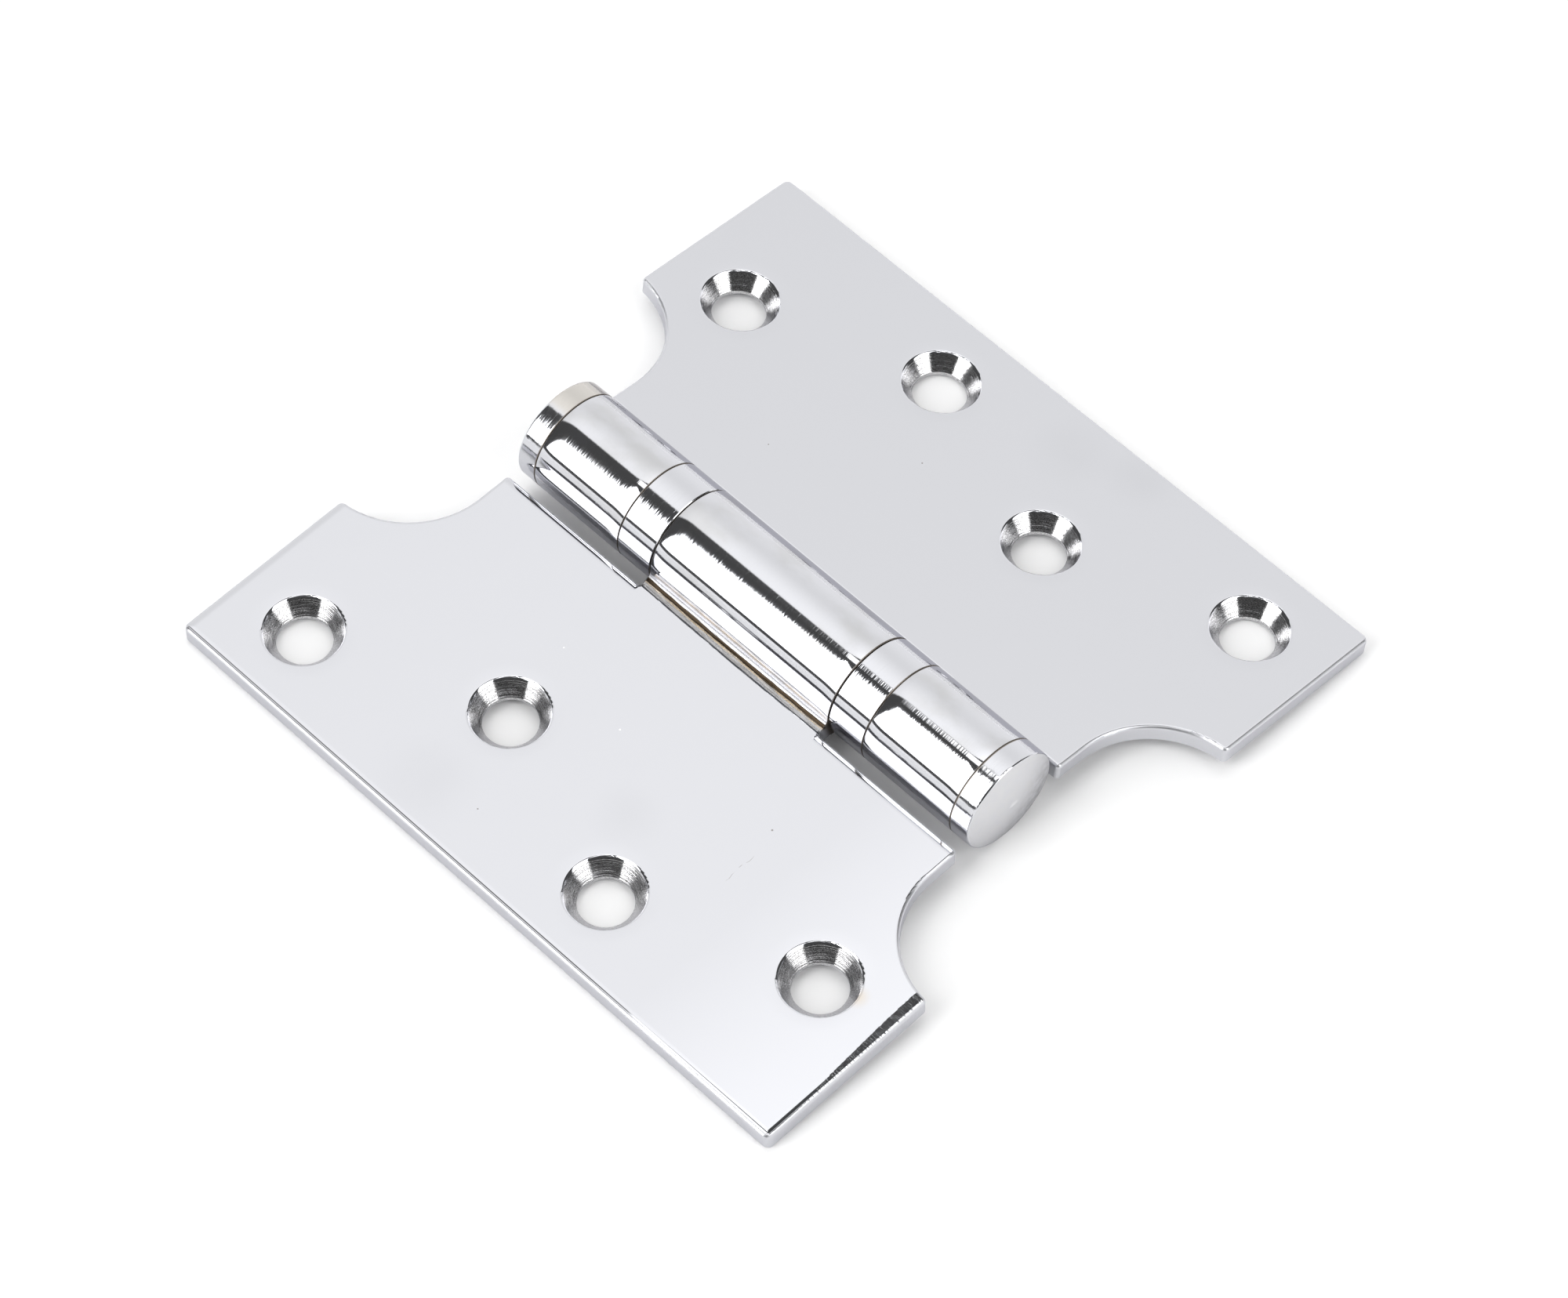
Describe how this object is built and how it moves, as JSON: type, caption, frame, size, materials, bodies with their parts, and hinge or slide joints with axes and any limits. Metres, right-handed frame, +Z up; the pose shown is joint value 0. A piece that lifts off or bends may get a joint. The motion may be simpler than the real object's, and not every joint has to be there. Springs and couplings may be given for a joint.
{
  "type": "parliament hinge",
  "caption": "Polished parliament hinge: wide scalloped leaves with staggered countersunk holes, joined by a capped barrel with bearing collars between its knuckles.",
  "frame": {"origin": "on the surface that the open hinge lies on, under the middle of its pin", "axes": "+Y along the pin, +X towards the leaf with the outer knuckles, +Z up from the surface, towards the side that the screws are driven from"},
  "size_m": [0.1048, 0.1016, 0.0143],
  "materials": {
    "polished_chrome": "mirror polished plating",
    "bearing_steel": "ground",
    "cage_brass": "stamped"
  },
  "bodies": {
    "fixed_leaf": {"leaf_with_outer_knuckles": "polished_chrome", "hinge_pin": "bearing_steel", "end_cap_upper": "polished_chrome", "end_cap_lower": "polished_chrome", "bearing_collar_upper": "polished_chrome", "bearing_collar_lower": "polished_chrome", "fixed_race_upper": "bearing_steel", "fixed_race_lower": "bearing_steel"},
    "swinging_leaf": {"leaf_with_middle_knuckle": "polished_chrome", "turning_race_upper": "bearing_steel", "turning_race_lower": "bearing_steel"},
    "ball_set_upper": {"bearing_balls_upper": "bearing_steel", "ball_cage_upper": "cage_brass"},
    "ball_set_lower": {"bearing_balls_lower": "bearing_steel", "ball_cage_lower": "cage_brass"}
  },
  "joints": [
    {"name": "leaf_swing", "type": "hinge", "parent": "fixed_leaf", "child": "swinging_leaf", "pos_m": [0, 0, 0.00715], "axis": [0, 1, 0], "range_deg": [0, 187.3]},
    {"name": "ball_roll_upper", "type": "hinge", "parent": "fixed_leaf", "child": "ball_set_upper", "pos_m": [0, 0, 0.00715], "axis": [0, 1, 0], "range_deg": [0, 94.2]},
    {"name": "ball_roll_lower", "type": "hinge", "parent": "fixed_leaf", "child": "ball_set_lower", "pos_m": [0, 0, 0.00715], "axis": [0, 1, 0], "range_deg": [0, 94.2]}
  ],
  "couplings": [
    {"joint": "ball_roll_upper", "follows": "leaf_swing", "ratio": 0.5},
    {"joint": "ball_roll_lower", "follows": "leaf_swing", "ratio": 0.5}
  ]
}
